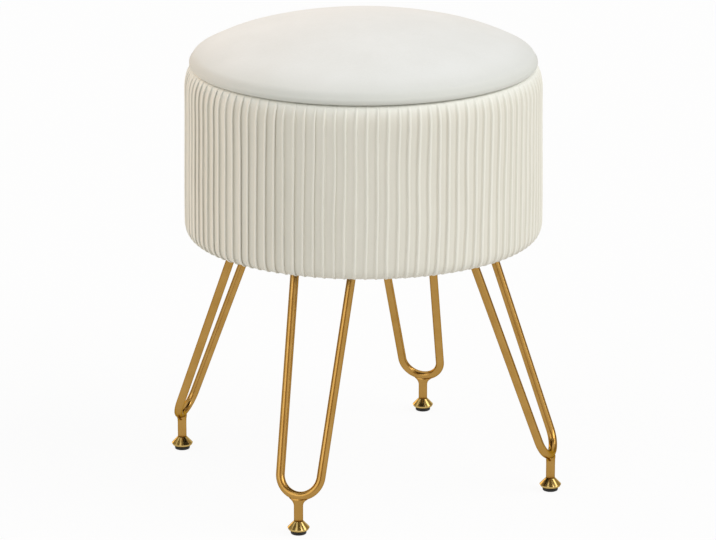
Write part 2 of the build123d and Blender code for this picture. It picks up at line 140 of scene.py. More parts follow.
def mathOf(tree, operation, first, second):
    node = addNode(tree, "ShaderNodeMath", {"operation": operation})
    for socket, value in zip(node.inputs, (first, second)):
        if isinstance(value, bpy.types.NodeSocket):
            tree.links.new(value, socket)
        else:
            socket.default_value = value
    return node.outputs[0]


def colourBetween(tree, factor, first, second):
    node = addNode(tree, "ShaderNodeMix", {"data_type": "RGBA"})
    tree.links.new(factor, node.inputs[0])
    for socket, value in ((node.inputs[6], first), (node.inputs[7], second)):
        if isinstance(value, bpy.types.NodeSocket):
            tree.links.new(value, socket)
        else:
            socket.default_value = (*value, 1)
    return node.outputs[2]


def sumOf(tree, *terms):
    # each term is a value and its share of the sum
    total = None
    for value, share in terms:
        part = mathOf(tree, "MULTIPLY", value, share)
        total = part if total is None else mathOf(tree, "ADD", total, part)
    return total


# Shared surface effects: how far each stretches along the piece, and its share of the shade and the bump
pileEffect = {
    "brushStretch": (1.0, 1.0, 0.45),
    "streakStretch": (1.0, 1.0, 0.06),
    "streakScale": 420.0,
    "brushShade": 0.55,
    "tipShade": 0.25,
    "streakShade": 0.2,
    "tipHeight": 0.6,
    "streakHeight": 0.4,
}
fibreEffect = {
    "acrossStretch": (1.0, 0.12, 0.5),
    "alongStretch": (0.12, 1.0, 0.5),
    "cloudScale": 35.0,
    "threadShade": 0.65,
    "cloudShade": 0.35,
}
skinEffect = {
    "scratchStretch": (1.0, 1.0, 0.04),
    "scratchScale": 900.0,
    "cloudScale": 60.0,
    "cloudWear": 0.6,
    "scratchWear": 0.4,
}


def makePile():
    inputs = {"Vector": "Vector", "Pile": "Float", "Brush": "Float"}
    group, start, end = newGroup("velvetPile", inputs, ("Shade", "Height"))
    vector = start.outputs["Vector"]
    tips = noiseOf(group, vector, start.outputs["Pile"], 2.0, 0.6)
    nap = stretched(group, vector, pileEffect["brushStretch"])
    brushed = noiseOf(group, nap, start.outputs["Brush"], 4.0, 0.55)
    lines = stretched(group, vector, pileEffect["streakStretch"])
    streaks = noiseOf(group, lines, pileEffect["streakScale"], 2.0, 0.5)
    shade = sumOf(group, (rangeOf(group, brushed, 0.3, 0.7), pileEffect["brushShade"]),
                  (rangeOf(group, tips, 0.3, 0.7), pileEffect["tipShade"]),
                  (rangeOf(group, streaks, 0.3, 0.7), pileEffect["streakShade"]))
    height = sumOf(group, (tips, pileEffect["tipHeight"]), (streaks, pileEffect["streakHeight"]))
    group.links.new(shade, end.inputs["Shade"])
    group.links.new(height, end.inputs["Height"])
    return group


def makeFibre():
    group, start, end = newGroup("feltedFibre", {"Vector": "Vector", "Fibre": "Float"}, ("Shade", "Height"))
    vector = start.outputs["Vector"]
    size = start.outputs["Fibre"]
    across = noiseOf(group, stretched(group, vector, fibreEffect["acrossStretch"]), size, 3.0, 0.6)
    along = noiseOf(group, stretched(group, vector, fibreEffect["alongStretch"]), size, 3.0, 0.6)
    cloud = noiseOf(group, vector, fibreEffect["cloudScale"], 3.0, 0.5)
    threads = mathOf(group, "MAXIMUM", across, along)
    shade = sumOf(group, (rangeOf(group, threads, 0.4, 0.75), fibreEffect["threadShade"]),
                  (rangeOf(group, cloud, 0.3, 0.7), fibreEffect["cloudShade"]))
    group.links.new(shade, end.inputs["Shade"])
    group.links.new(threads, end.inputs["Height"])
    return group


def makeSkin():
    inputs = {"Vector": "Vector", "Grain": "Float"}
    group, start, end = newGroup("smoothSkin", inputs, ("Tint", "Wear", "Height"))
    vector = start.outputs["Vector"]
    grain = noiseOf(group, vector, start.outputs["Grain"], 4.0, 0.65)
    cloud = noiseOf(group, vector, skinEffect["cloudScale"], 3.0, 0.5)
    lines = stretched(group, vector, skinEffect["scratchStretch"])
    scratches = noiseOf(group, lines, skinEffect["scratchScale"], 2.0, 0.7)
    wear = sumOf(group, (rangeOf(group, cloud, 0.35, 0.7), skinEffect["cloudWear"]),
                 (rangeOf(group, scratches, 0.55, 0.75), skinEffect["scratchWear"]))
    group.links.new(rangeOf(group, cloud, 0.3, 0.7), end.inputs["Tint"])
    group.links.new(wear, end.inputs["Wear"])
    group.links.new(grain, end.inputs["Height"])
    return group


pileGroup = makePile()
fibreGroup = makeFibre()
skinGroup = makeSkin()


# Finishes
def newFinish(name, **fixed):
    finish = bpy.data.materials.new(name)
    finish.use_nodes = True
    shader = finish.node_tree.nodes["Principled BSDF"]
    for socket, value in fixed.items():
        shader.inputs[socket].default_value = value
    return finish, finish.node_tree, shader


def placeGroup(tree, group, **values):
    node = addNode(tree, "ShaderNodeGroup", {"node_tree": group}, **values)
    coordinates = tree.nodes.new("ShaderNodeTexCoord")
    tree.links.new(coordinates.outputs["Object"], node.inputs["Vector"])
    return node


def linkFinish(tree, shader, look, colour, rough, height):
    bump = addNode(tree, "ShaderNodeBump", Distance=look["bumpHeight"], Strength=look["bump"])
    tree.links.new(height, bump.inputs["Height"])
    tree.links.new(colour, shader.inputs["Base Color"])
    tree.links.new(rough, shader.inputs["Roughness"])
    tree.links.new(bump.outputs["Normal"], shader.inputs["Normal"])


velvet = {
    "drum": ((0.690, 0.666, 0.574), (0.772, 0.750, 0.660)),
    # the lid's velvet is the drum's velvet painted lighter and cooler: painted light on the top, which faces
    # the lamps
    "seat": ((0.725, 0.724, 0.690), (0.795, 0.795, 0.770)),
    # painted shade in the pleats' creases
    "crease": (0.63, 0.59, 0.495),
    # painted highlight on the pleats' fold ridges
    "ridgeHighlight": (0.83, 0.81, 0.725),
    # painted highlight on the roll of the rim under the seat
    "rim": (0.83, 0.825, 0.755),
    # painted shade on the seat's sides, darker towards the seam
    "flankShade": (0.60, 0.605, 0.55),
    "sheen": 0.45,
    "sheenRough": 0.35,
    "sheenTint": (1.0, 0.985, 0.95, 1.0),
    "specular": 0.15,
    "pile": 1500.0,
    "brush": 16.0,
    "smoothest": 0.8,
    "roughest": 0.95,
    "bumpHeight": 0.4 * mm,
    "bump": 0.25,
}


def makeVelvet(name, nap, shades=()):
    finish, tree, shader = newFinish(name, **{
        "Sheen Weight": velvet["sheen"],
        "Sheen Roughness": velvet["sheenRough"],
        "Sheen Tint": velvet["sheenTint"],
        "Specular IOR Level": velvet["specular"],
    })
    pile = placeGroup(tree, pileGroup, Pile=velvet["pile"], Brush=velvet["brush"])
    # nap picks the colour pair: the drum's is the velvet's own, the seat's a lighter, cooler copy with
    # painted light
    colour = colourBetween(tree, pile.outputs["Shade"], *velvet[nap])
    # each entry paints shade and highlight into the colour through an attribute on the piece
    for attribute, low, high, toLow, toHigh, shade in shades:
        share = addNode(tree, "ShaderNodeAttribute", {"attribute_name": attribute}).outputs["Fac"]
        colour = colourBetween(tree, rangeOf(tree, share, low, high, toLow, toHigh), colour, velvet[shade])
    rough = rangeOf(tree, pile.outputs["Shade"], 0.0, 1.0, velvet["roughest"], velvet["smoothest"])
    linkFinish(tree, shader, velvet, colour, rough, pile.outputs["Height"])
    return finish


plainCloth = {
    "sheen": 0.1,
    "sheenRough": 0.5,
    "specular": 0.2,
    "smoothest": 0.8,
    "roughest": 0.95,
    "bumpHeight": 0.4 * mm,
    "bump": 0.5,
}


def makeCloth(name, dark, light, fibre):
    finish, tree, shader = newFinish(name, **{
        "Sheen Weight": plainCloth["sheen"],
        "Sheen Roughness": plainCloth["sheenRough"],
        "Specular IOR Level": plainCloth["specular"],
    })
    fibres = placeGroup(tree, fibreGroup, Fibre=fibre)
    shade = fibres.outputs["Shade"]
    colour = colourBetween(tree, shade, dark, light)
    rough = rangeOf(tree, shade, 0.0, 1.0, plainCloth["roughest"], plainCloth["smoothest"])
    linkFinish(tree, shader, plainCloth, colour, rough, fibres.outputs["Height"])
    return finish


satinGold = {
    "base": (0.45, 0.259, 0.072),
    "worn": (0.40, 0.221, 0.055),
    "edge": (0.55, 0.45, 0.30),
    "smoothest": 0.22,
    "roughest": 0.30,
    "grain": 1800.0,
    "bumpHeight": 0.1 * mm,
    "bump": 0.02,
}
polishedGold = {
    "base": (0.56, 0.40, 0.15),
    "worn": (0.48, 0.33, 0.11),
    "edge": (0.75, 0.65, 0.45),
    "smoothest": 0.16,
    "roughest": 0.25,
    "grain": 1200.0,
    "bumpHeight": 0.1 * mm,
    "bump": 0.03,
}
zincSteel = {
    "base": (0.60, 0.60, 0.58),
    "worn": (0.45, 0.45, 0.44),
    "edge": (1.0, 1.0, 1.0),
    "smoothest": 0.28,
    "roughest": 0.45,
    "grain": 1500.0,
    "bumpHeight": 0.1 * mm,
    "bump": 0.3,
}
rubber = {
    "base": (0.012, 0.012, 0.012),
    "worn": (0.03, 0.029, 0.028),
    "specular": 0.3,
    "smoothest": 0.62,
    "roughest": 0.85,
    "grain": 2600.0,
    "bumpHeight": 0.2 * mm,
    "bump": 0.4,
}


def makeSmooth(name, look, **fixed):
    finish, tree, shader = newFinish(name, **fixed)
    skin = placeGroup(tree, skinGroup, Grain=look["grain"])
    colour = colourBetween(tree, skin.outputs["Tint"], look["base"], look["worn"])
    rough = rangeOf(tree, skin.outputs["Wear"], 0.0, 1.0, look["smoothest"], look["roughest"])
    linkFinish(tree, shader, look, colour, rough, skin.outputs["Height"])
    return finish


def makeMetal(name, look):
    return makeSmooth(name, look, **{"Metallic": 1.0, "Specular Tint": (*look["edge"], 1.0)})


plywood = {
    "dark": (0.36, 0.23, 0.12),
    "light": (0.66, 0.49, 0.31),
    "specular": 0.25,
    "smoothest": 0.65,
    "roughest": 0.85,
    "grainStretch": (0.08, 1.0, 0.6),
    "grainScale": 260.0,
    "plyScale": 110.0,
    "plyWaver": 1.5,
    "grainShade": 0.7,
    "plyShade": 0.3,
    "bumpHeight": 0.3 * mm,
    "bump": 0.4,
}


def makeBoard():
    finish, tree, shader = newFinish("rawPlywood", **{"Specular IOR Level": plywood["specular"]})
    coordinates = tree.nodes.new("ShaderNodeTexCoord").outputs["Object"]
    lines = stretched(tree, coordinates, plywood["grainStretch"])
    grain = noiseOf(tree, lines, plywood["grainScale"], 5.0, 0.6)
    bands = {"wave_type": "BANDS", "bands_direction": "Z"}
    plies = addNode(tree, "ShaderNodeTexWave", bands, Scale=plywood["plyScale"],
                    Distortion=plywood["plyWaver"])
    tree.links.new(coordinates, plies.inputs["Vector"])
    shade = sumOf(tree, (grain, plywood["grainShade"]), (plies.outputs["Fac"], plywood["plyShade"]))
    colour = colourBetween(tree, shade, plywood["dark"], plywood["light"])
    rough = rangeOf(tree, grain, 0.3, 0.7, plywood["roughest"], plywood["smoothest"])
    linkFinish(tree, shader, plywood, colour, rough, grain)
    return finish


finishes = {
    "velvet": makeVelvet("creamVelvet", "drum"),
    # the seat's sides get painted shade
    "seat": makeVelvet("seatVelvet", "seat", [("flankShade", 0.0, 1.0, 0.0, 1.0, "flankShade")]),
    "pleats": makeVelvet("pleatedVelvet", "drum", [
        # painted shade in the creases
        ("fold", 0.1, 0.4, 1.0, 0.0, "crease"),
        # painted highlight on the fold ridges
        ("fold", 0.6, 0.95, 0.0, 0.8, "ridgeHighlight"),
        # painted highlight on the rim's roll
        ("rim", 0.0, 1.0, 0.0, 0.85, "rim"),
    ]),
    "lining": makeCloth("beigeLining", (0.42, 0.37, 0.30), (0.66, 0.61, 0.52), 900.0),
    "dust_cloth": makeCloth("blackDustCloth", (0.008, 0.008, 0.008), (0.035, 0.034, 0.033), 700.0),
    "gold_metal": makeMetal("satinGold", satinGold),
    "polished_gold": makeMetal("polishedGold", polishedGold),
    "steel": makeMetal("zincSteel", zincSteel),
    "pad_rubber": makeSmooth("padRubber", rubber, **{"Specular IOR Level": rubber["specular"]}),
    "board": makeBoard(),
}
finishes["foam"] = finishes["lining"]
print("finishes made:", len(finishes))


# Piece helpers
def spinProfile(points, steps, closed=False):
    bm = bmesh.new()
    verts = [bm.verts.new((radius, 0, height)) for radius, height in points]
    edges = [bm.edges.new(pair) for pair in zip(verts, verts[1:])]
    if closed:
        edges.append(bm.edges.new((verts[-1], verts[0])))
    bmesh.ops.spin(bm, geom=verts + edges, cent=(0, 0, 0), axis=(0, 0, 1), angle=2 * math.pi, steps=steps,
                   use_merge=True)
    bmesh.ops.remove_doubles(bm, verts=bm.verts, dist=1e-7)
    bmesh.ops.recalc_face_normals(bm, faces=bm.faces)
    sortParts(bm)
    return bm


def sortParts(bm):
    # spin leaves its parts in a chance order, and the cloth simulation would differ with it
    slant = Vector((1.0, 1.618, 2.718))
    bm.verts.sort(key=lambda vert: vert.co.dot(slant))
    bm.edges.sort(key=lambda edge: (edge.verts[0].co + edge.verts[1].co).dot(slant))
    bm.faces.sort(key=lambda face: face.calc_center_median().dot(slant))


def arcPoints(centre, radii, fromAngle, toAngle, steps):
    points = []
    for step in range(steps + 1):
        angle = math.radians(fromAngle + (toAngle - fromAngle) * step / steps)
        points.append((centre[0] + radii[0] * math.cos(angle), centre[1] + radii[1] * math.sin(angle)))
    return points


def polar(co):
    return math.hypot(co.x, co.y), math.atan2(co.y, co.x)


def fromPolar(radius, angle, height):
    return Vector((radius * math.cos(angle), radius * math.sin(angle), height))


gathers = {
    "strength": 0.6,
    "uneven": 0.8,
    "unevenScale": 3.1,
    "wander": 5.0,
    "wanderScale": 2.0,
    "apart": 7.3,  # keeps the two noises unlike
}


def ripple(angle, count, seed):
    wander = noise.noise(fromPolar(gathers["wanderScale"], angle, seed))
    uneven = noise.noise(fromPolar(gathers["unevenScale"], angle, seed + gathers["apart"]))
    strength = gathers["strength"] + gathers["uneven"] * uneven
    return strength * math.sin(count * angle + gathers["wander"] * wander)


def addPiece(name, bm, body, slot, replaced, finish=None, sharp=None):
    mesh = bpy.data.meshes.new(name)
    bm.to_mesh(mesh)
    bm.free()
    mesh.shade_smooth()
    if sharp:
        mesh.set_sharp_from_angle(angle=math.radians(sharp))
    mesh.materials.append(finishes[finish or slot])
    piece = bpy.data.objects.new(name, mesh)
    scene.collection.objects.link(piece)
    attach(piece, body)
    if replaced:
        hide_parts(*replaced)
    return piece


# Pleated skirt of the drum
skirt = {
    "pleats": 108,
    "depth": 2.4 * mm,
    # one pleat as shares of its pitch and depth, from under the last fold along the panel, over the fold and
    # back: a crisp knife fold, and the low rib that it relaxes into where pleats hang loosest and at the back
    "crisp": [(-0.09, 0.34), (-0.02, 0.20), (0.05, 0.20), (0.14, 0.28), (0.28, 0.36),
              (0.43, 0.42), (0.58, 0.50), (0.68, 0.60), (0.75, 0.74), (0.81, 0.90),
              (0.87, 1.00), (0.93, 0.96), (0.97, 0.80), (0.978, 0.60), (0.95, 0.44)],
    "soft": [(-0.04, 0.68), (0.02, 0.62), (0.09, 0.58), (0.18, 0.56), (0.29, 0.53),
             (0.40, 0.44), (0.50, 0.27), (0.58, 0.16), (0.65, 0.28), (0.71, 0.66),
             (0.77, 0.95), (0.83, 1.00), (0.89, 0.96), (0.94, 0.86), (0.963, 0.76)],
    "softDepth": 0.75,
    "loosest": -15.0,  # degrees round the drum
    "softening": (0.5, 0.98),  # looseness at which folds start to relax, and at which they are ribs
    "backSoft": 0.8,
    "backFrom": 0.24,  # looseness below which the back's folds relax
    "backOver": 0.1,
    "bottomRoll": 16 * mm,
    "rimRoll": 26 * mm,
    "squareness": 2.6,  # of the two rolls: 2 is an ellipse
    "taper": 1.3 * mm,  # how much slimmer the drum is under the rim
    "taperOver": (0.15, 0.85),  # shares of its height
    "sideRows": 18,
    "rollRows": 14,
    "depths": (0.85, 1.1),  # least and most of a pleat's depth
    "uneven": 0.03,  # of the pleats' spacing
    "wander": 0.15,
    "tightWander": 0.25,  # share of it where pleats hang tightest
    "driftAround": 7.7,
    "driftUp": 15,
    "lean": 0.22,
    "rimFade": 0.88,  # share of their depth that the pleats lose over the rim
    "underFade": 0.75,  # and under the base
    "rimTurn": (0.5, 0.85),  # how far the cloth faces up where they fade
    "rimHighlightSpan": (0.1, 0.8),  # and where the rim's painted highlight comes in
    "rimFold": 0.8,  # fold value on the rim: part of the ridges' painted highlight, none of the creases' painted shade
    # neither painted shade nor painted highlight under the base
    "underFold": 0.5,
    "pucker": 0.3 * mm,  # small gathers at the rim seam
    "puckerEven": 0.6,
    "puckerAround": 70,
    "puckerUp": 9,
    "seed": 5,
}


def smoothStep(value, low, high):
    share = min(1.0, max(0.0, (value - low) / (high - low)))
    return share * share * (3 - 2 * share)


def rollArc(centre, radii, fromAngle, toAngle):
    points = []
    power = 2 / skirt["squareness"]
    for step in range(skirt["rollRows"] + 1):
        angle = math.radians(fromAngle + (toAngle - fromAngle) * step / skirt["rollRows"])
        across, rise = abs(math.cos(angle)) ** power, math.copysign(abs(math.sin(angle)) ** power, angle)
        points.append((centre[0] + radii[0] * across, centre[1] + radii[1] * rise))
    return points


def skirtProfile():
    wide, under, over, rows = drumHigh.x, skirt["bottomRoll"], skirt["rimRoll"], skirt["sideRows"]
    bottom = rollArc((shellHigh.x, drumLow.z + under), (wide - shellHigh.x, under), -90, 0)
    rim = rollArc((mouthHigh.x, drumHigh.z - over), (wide - mouthHigh.x, over), 0, 90)
    low, high = bottom[-1][1], rim[0][1]
    side = [(wide, low + (high - low) * row / rows) for row in range(1, rows)]
    return bottom + side + rim


def skirtOutwards(radius, height):
    low, high = drumLow.z + skirt["bottomRoll"], drumHigh.z - skirt["rimRoll"]
    if low <= height <= high:
        return Vector((1, 0))
    start, across = (shellHigh.x, skirt["bottomRoll"]) if height < low else (mouthHigh.x, skirt["rimRoll"])
    depth, power = drumHigh.x - start, skirt["squareness"] - 1
    rise = (height - low if height < low else height - high) / across
    reach = max(0.0, radius - start) / depth
    return Vector((reach ** power / depth, math.copysign(abs(rise) ** power, rise) / across)).normalized()


def pleatLoose(angle):
    return 0.5 + 0.5 * math.cos(angle - math.radians(skirt["loosest"]))


def pleatSoftness(angle):
    loose = pleatLoose(angle)
    back = smoothStep(skirt["backFrom"] - loose, 0.0, skirt["backOver"])
    return max(smoothStep(loose, *skirt["softening"]), skirt["backSoft"] * back)


def pleatWander(angle, height):
    loose = pleatLoose(angle)
    middle, half = (drumLow.z + drumHigh.z) / 2, (drumHigh.z - drumLow.z) / 2
    drift = noise.noise(fromPolar(skirt["driftAround"], angle, skirt["driftUp"] * height))
    lean = loose ** 3 * skirt["lean"] * (height - middle) / half
    tight = skirt["tightWander"]
    return (tight + (1 - tight) * loose) * skirt["wander"] * drift + lean


def makeSkirt():
    crisp, soft = skirt["crisp"], skirt["soft"]
    columns = skirt["pleats"] * len(crisp)
    pitch = 2 * math.pi / skirt["pleats"]
    draw = random.Random(skirt["seed"])
    shifts = [draw.uniform(-1, 1) * skirt["uneven"] for _ in range(skirt["pleats"])]
    softness = [pleatSoftness(pleat * pitch) for pleat in range(skirt["pleats"])]
    depths = [draw.uniform(*skirt["depths"]) * (1 + (skirt["softDepth"] - 1) * soften) for soften in softness]
    profile = skirtProfile()
    bm = spinProfile(profile, columns)
    paintedFoldLayer = bm.verts.layers.float.new("fold")
    rimHighlightLayer = bm.verts.layers.float.new("rim")
    for vert in bm.verts:
        radius, angle = polar(vert.co)
        height = vert.co.z
        pleat, place = divmod(round(angle / (2 * math.pi) * columns) % columns, len(crisp))
        share, rise = Vector(crisp[place]).lerp(Vector(soft[place]), softness[pleat])
        outwards = skirtOutwards(radius, height)
        rim = smoothStep(outwards.y, *skirt["rimTurn"])
        under = max(0.0, 1 - outwards.x) ** 1.5 * (outwards.y < 0)
        fade = (1 - skirt["rimFade"] * rim) * (1 - skirt["underFade"] * under)
        sink = skirt["depth"] * depths[pleat] * (1 - rise) * fade
        turn = (pleat + share + shifts[pleat] + pleatWander(pleat * pitch, height)) * pitch
        gather = noise.noise(fromPolar(skirt["puckerAround"], turn, skirt["puckerUp"] * outwards.y))
        sink += skirt["pucker"] * (skirt["puckerEven"] + gather) * rim
        lift = (height - drumLow.z) / (drumHigh.z - drumLow.z)
        slim = skirt["taper"] * smoothStep(lift, *skirt["taperOver"])
        vert.co = fromPolar(radius - outwards.x * (sink + slim), turn, height - outwards.y * sink)
        # fold is the mask for the painted shade in the creases and the painted highlight on the ridges
        vert[paintedFoldLayer] = rise + (skirt["rimFold"] - rise) * rim + (skirt["underFold"] - rise) * under
        # mask for the rim's painted highlight
        vert[rimHighlightLayer] = smoothStep(outwards.y, *skirt["rimHighlightSpan"])
    piece = addPiece("pleatedSkirt", bm, "frame", "velvet", ("pleated_cover", "drum_wadding"), "pleats")


# Velvet bands that finish the pleats under the base and inside the mouth
band = {
    "steps": 216,
    "round": 0.7 * mm,
    "pucker": 0.35 * mm,
    "hemPuckers": 54,
    "hemReach": 15.8 * mm,  # how far the hem is turned under the base
    "mouthPuckers": 24,
    "mouthInner": 156.2 * mm,
    "mouthRoll": 10 * mm,
    "mouthCut": 34 * mm,
    "mouthThick": 2.2 * mm,  # at the rim seam
    "rows": 8,
}


def makeHemBand():
    edge = band["round"]
    low, high = hemLow.z, hemHigh.z
    inner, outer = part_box("base_board")[1].x - band["hemReach"], hemHigh.x
    profile = [(outer, low), (inner + edge, low), (inner, low + edge), (inner, high), (outer, high)]
    bm = spinProfile(profile, band["steps"], closed=True)
    for vert in bm.verts:
        radius, angle = polar(vert.co)
        if vert.co.z < low + edge / 2 and radius < outer - edge:
            vert.co.z -= band["pucker"] * (0.5 + 0.5 * ripple(angle, band["hemPuckers"], 1.0))
    piece = addPiece("hemBand", bm, "frame", "velvet", ("hem_band",))


def makeMouthBand():
    inner, outer, seam, top = band["mouthInner"], liningHigh.x, mouthHigh.x, mouthHigh.z
    rollBase = top - band["mouthRoll"]
    depth, rows = rollBase - mouthLow.z, band["rows"]
    face = arcPoints((seam, rollBase), (seam - inner, top - rollBase), 90, 180, 10)
    face += [(inner, rollBase - depth * row / rows) for row in range(1, rows + 1)]
    back = [(outer, mouthLow.z), (outer, rollBase), (seam, top - band["mouthThick"])]
    bm = spinProfile(face + back, band["steps"], closed=True)
    for vert in bm.verts:
        radius, angle = polar(vert.co)
        if radius < inner + near:
            pull = band["pucker"] * ripple(angle, band["mouthPuckers"], 3.0) * (rollBase - vert.co.z) / depth
            vert.co = fromPolar(radius - abs(pull), angle, vert.co.z)
    piece = addPiece("mouthBand", bm, "frame", "velvet", ("mouth_band",))


# Cloth lining of the storage space
lining = {
    "steps": 200,
    "rows": 12,
    "crease": 1.2 * mm,
    "creaseScale": 30,
    "creaseUp": 9,
    "thick": 0.8 * mm,
    "floorSteps": 120,
    "floorRings": 16,
    "floorEdge": 0.6 * mm,
    "floorRumple": 0.5 * mm,
    "floorSink": 0.3 * mm,
    "rumpleScale": 28,
}


def makeDrumLining():
    outer, inner = liningHigh.x, liningHigh.x - lining["thick"]
    rows = lining["rows"]
    heights = [liningLow.z + (liningHigh.z - liningLow.z) * row / rows for row in range(rows + 1)]
    profile = [(inner, height) for height in heights] + [(outer, liningHigh.z), (outer, liningLow.z)]
    bm = spinProfile(profile, lining["steps"], closed=True)
    for vert in bm.verts:
        radius, angle = polar(vert.co)
        if radius < inner + near:
            place = fromPolar(radius * lining["creaseScale"], angle, vert.co.z * lining["creaseUp"])
            vert.co = fromPolar(radius - lining["crease"] * abs(noise.noise(place)), angle, vert.co.z)
    piece = addPiece("drumLining", bm, "frame", "lining", ("drum_lining",), sharp=60)


def makeFloorLining():
    radius, edge, low, top = floorHigh.x, lining["floorEdge"], floorLow.z, floorHigh.z
    rings, scale = lining["floorRings"], lining["rumpleScale"]
    face = [(radius * ring / rings, top) for ring in range(rings)]
    border = [(radius - edge, top), (radius, top - edge), (radius, low), (0, low)]
    bm = spinProfile(face + border, lining["floorSteps"])
    for vert in bm.verts:
        if vert.co.z > top - near and polar(vert.co)[0] < radius - 2 * edge:
            rumple = noise.noise((vert.co.x * scale, vert.co.y * scale, 4.0))
            vert.co.z += lining["floorRumple"] * rumple - lining["floorSink"]
    piece = addPiece("floorLining", bm, "frame", "lining", ("floor_lining",), sharp=60)


# Cloth over the locating disc, gathered round its edge
discWrap = {
    "steps": 288,
    "rings": 12,
    "rows": 4,
    "thick": 0.8 * mm,
    "round": 2.0 * mm,
    "gathers": 96,
    "gather": 0.35 * mm,
}


def makeDiscCover():
    radius, low, top, thick = discHigh.x, discLow.z, discHigh.z, discWrap["thick"]
    edge, rings, rows = discWrap["round"], discWrap["rings"], discWrap["rows"]
    under = [((radius - edge) * ring / rings, low) for ring in range(rings)]
    bend = arcPoints((radius - edge, low + edge), (edge, edge), -90, 0, 5)
    wall = [(radius, low + edge + (top - low - edge) * row / rows) for row in range(1, rows + 1)]
    inside = [(radius - thick, top), (radius - thick, low + thick), (0, low + thick)]
    bm = spinProfile(under + bend + wall + inside, discWrap["steps"])
    for vert in bm.verts:
        reach, angle = polar(vert.co)
        if reach > radius - near:
            lift = (vert.co.z - low) / (top - low)
            gather = discWrap["gather"] * lift * (0.5 + 0.5 * ripple(angle, discWrap["gathers"], 8.0))
            vert.co = fromPolar(reach - gather, angle, vert.co.z)
    piece = addPiece("discCover", bm, "lid", "lining", ("disc_cover",), sharp=70)


# Black cloth under the base, stapled over the hem
dust = {
    "steps": 288,
    "rings": 14,
    "lapRings": 6,
    "thick": 0.8 * mm,
    "lap": 12 * mm,
    "lapGap": 0.3 * mm,
    "step": 2.5 * mm,
    "staples": 36,
    "bulge": 0.7 * mm,
    "scallop": 1.0 * mm,  # how far the edge draws in between the staples
    "scallopUneven": 0.4,
    "scallops": 17,
    "sag": 1.6 * mm,
    "sagEven": 0.7,
    "sagUneven": 0.6,
    "sagReach": 80 * mm,
    "sagScale": 20,
}


def makeDustCover():
    outer, low, top, thick = dustHigh.x, dustLow.z, dustHigh.z, dust["thick"]
    lapInner = outer - dust["lap"] - dust["lapGap"] - thick
    flatOuter = lapInner - dust["step"]
    rings, lapRings = dust["rings"], dust["lapRings"]
    under = [(flatOuter * ring / rings, top - thick) for ring in range(rings + 1)]
    lap = [(lapInner + (outer - lapInner) * ring / lapRings, low) for ring in range(lapRings + 1)]
    above = [(outer, low + thick), (lapInner + thick, low + thick), (flatOuter + thick, top), (0, top)]
    bm = spinProfile(under + lap + above, dust["steps"])
    for vert in bm.verts:
        reach, angle = polar(vert.co)
        if reach > lapInner - near and vert.co.z < low + thick / 2:
            share = (reach - lapInner) / (outer - lapInner)
            between = 0.5 + 0.5 * math.cos(dust["staples"] * angle)
            vert.co.z -= dust["bulge"] * between * share
            uneven = dust["scallopUneven"] * ripple(angle, dust["scallops"], 6.0)
            drawn = dust["scallop"] * share * (between + uneven)
            vert.co = fromPolar(reach - drawn, angle, vert.co.z)
        elif abs(vert.co.z - top + thick) < near and reach < dust["sagReach"]:
            slack = math.cos(reach / dust["sagReach"] * math.pi / 2) ** 2
            uneven = noise.noise((vert.co.x * dust["sagScale"], vert.co.y * dust["sagScale"], 2.0))
            vert.co.z -= dust["sag"] * slack * (dust["sagEven"] + dust["sagUneven"] * uneven)
    piece = addPiece("dustCover", bm, "frame", "dust_cloth", ("dust_cover",), sharp=60)


# Padded seat of the lid
seat = {
    "tuck": 2.0 * mm,
    "side": 2.5 * mm,
    "shoulder": 10 * mm,
    "start": 1.5 * mm,  # how much smaller the pad starts before it swells
    "held": 5 * mm,  # height of the edge that the staples hold
    "pressure": 4.0,
    "frames": 20,
    "mostMove": 1.5 * mm,
    "smoothing": 4,
    "quality": 6,
    "steps": 120,
    "rings": 14,  # of the underside
    "tuckSteps": 6,
    "shoulderSteps": 8,
    "domeSteps": 22,
    "fill": 0.85,
    "puckers": 64,
    "pucker": 0.3 * mm,  # small gathers where the cover is drawn under
    "puckerHeight": 14 * mm,
    "puckerFrom": 120 * mm,  # radius where they begin
    "puckerOver": 40 * mm,
    "flankOver": (0.45, 1.05),  # shares of the pad's height below its top over which the sides' painted shade comes in
}


def seatProfile(inset):
    side, low, top = lidHigh.x - inset, lidLow.z, lidHigh.z - inset
    tuck, shoulder = seat["tuck"], seat["shoulder"]
    springing = low + tuck + seat["side"]
    rise, reach = top - springing, side - shoulder
    crown = (reach ** 2 + rise ** 2 - shoulder ** 2) / (2 * (rise - shoulder))
    start = math.degrees(math.atan2(springing - (top - crown), reach))
    under = [((side - tuck) * ring / seat["rings"], low) for ring in range(seat["rings"])]
    bend = arcPoints((side - tuck, low + tuck), (tuck, tuck), -90, 0, seat["tuckSteps"])
    corner = arcPoints((reach, springing), (shoulder, shoulder), 0, start, seat["shoulderSteps"])
    dome = arcPoints((0, top - crown), (crown, crown), start, 90, seat["domeSteps"])
    return under + bend + corner + dome[1:]


def bakeModifiers(piece):
    graph = bpy.context.evaluated_depsgraph_get()
    mesh = bpy.data.meshes.new_from_object(piece.evaluated_get(graph))
    piece.modifiers.clear()
    piece.data = mesh


def swell(piece):
    start = [vert.co.copy() for vert in piece.data.vertices]
    held = piece.vertex_groups.new(name="held")
    held.add([i for i, co in enumerate(start) if co.z < lidLow.z + seat["held"]], 1.0, "REPLACE")
    cloth = piece.modifiers.new("cloth", "CLOTH")
    cloth.settings.quality = seat["quality"]
    cloth.settings.vertex_group_mass = "held"
    cloth.settings.use_pressure = True
    cloth.settings.uniform_pressure_force = seat["pressure"]
    cloth.settings.effector_weights.gravity = 0
    cloth.point_cache.frame_end = seat["frames"]
    for step in range(1, seat["frames"] + 1):
        scene.frame_set(step)
    bakeModifiers(piece)
    scene.frame_set(1)
    piece.vertex_groups.clear()
    most = 0.0
    for vert, co in zip(piece.data.vertices, start):
        move = vert.co - co
        most = max(most, move.length)
        if move.length > seat["mostMove"]:
            vert.co = co + move * (seat["mostMove"] / move.length)
    print("seat swollen: up to", round(most / mm, 1), "mm")


